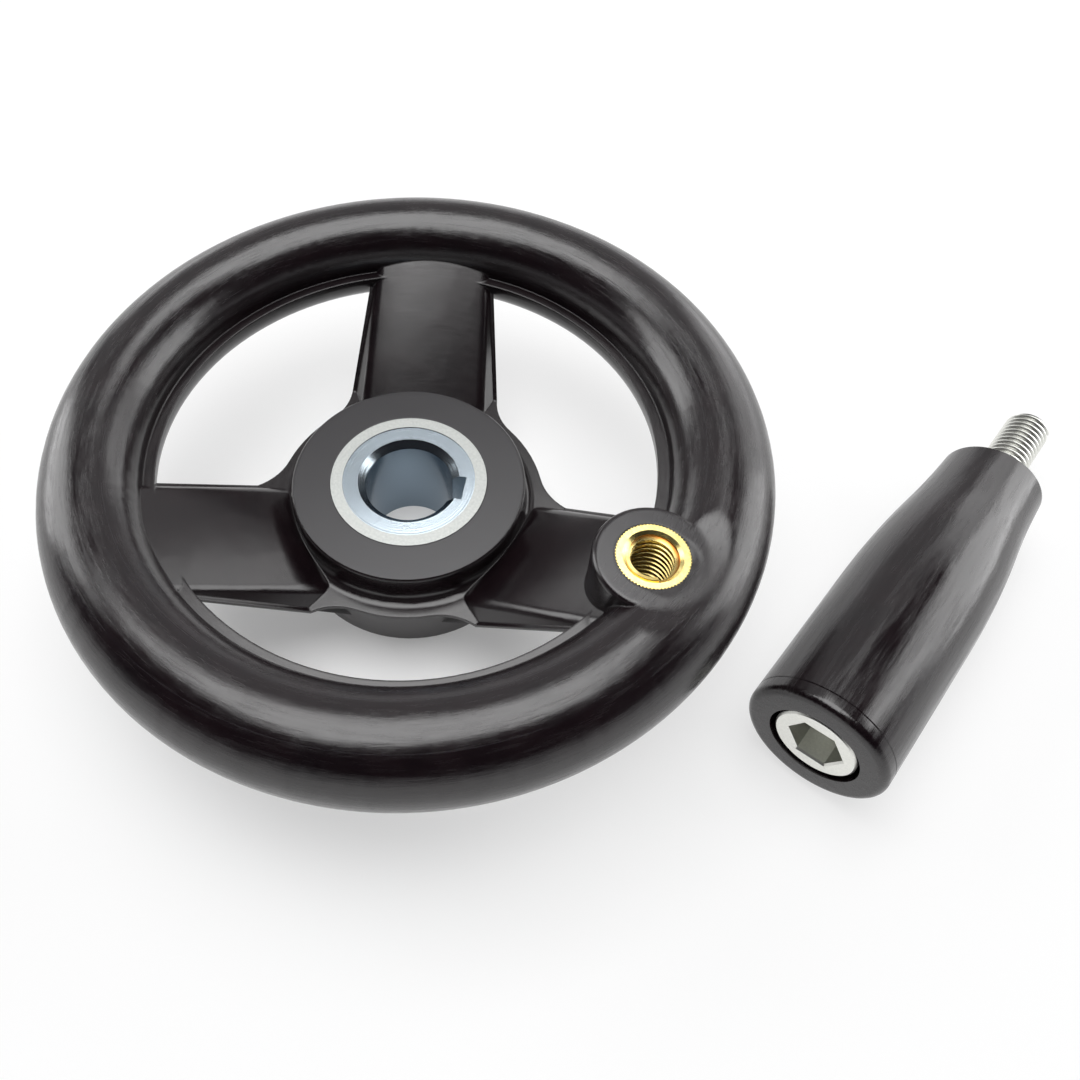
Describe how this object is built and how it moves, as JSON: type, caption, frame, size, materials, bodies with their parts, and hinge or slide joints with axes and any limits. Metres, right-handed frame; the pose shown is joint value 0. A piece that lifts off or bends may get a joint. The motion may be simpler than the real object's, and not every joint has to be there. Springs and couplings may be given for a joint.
{
  "type": "machine handwheel",
  "caption": "Dished spoked machine handwheel with a keyed steel hub bushing and a threaded boss; its revolving handle lies unscrewed beside it.",
  "frame": {"origin": "on the bore axis at the underside of the hub, on which the wheel stands", "axes": "+Z along the bore, up out of the hub's face; +X towards the handle boss"},
  "size_m": [0.1589, 0.1509, 0.039],
  "materials": {
    "wheel_phenolic": "buffed gloss, matt on the turned hub face",
    "grip_phenolic": "buffed gloss",
    "bushing_steel": "turned, bright zinc plated",
    "spindle_steel": "bright zinc plated",
    "insert_brass": "turned, knurled outside"
  },
  "bodies": {
    "wheel": {"handwheel_body": "wheel_phenolic", "hub_bushing": "bushing_steel", "handle_insert": "insert_brass", "handle_spindle": "spindle_steel"},
    "grip": {"handle_grip": "grip_phenolic"}
  },
  "joints": [
    {"name": "grip_spin", "type": "hinge", "parent": "wheel", "child": "grip", "pos_m": [0.08376, 0.03409, 0.01173], "axis": [0.1045, 0.9939, -0.0349], "continuous": true}
  ]
}
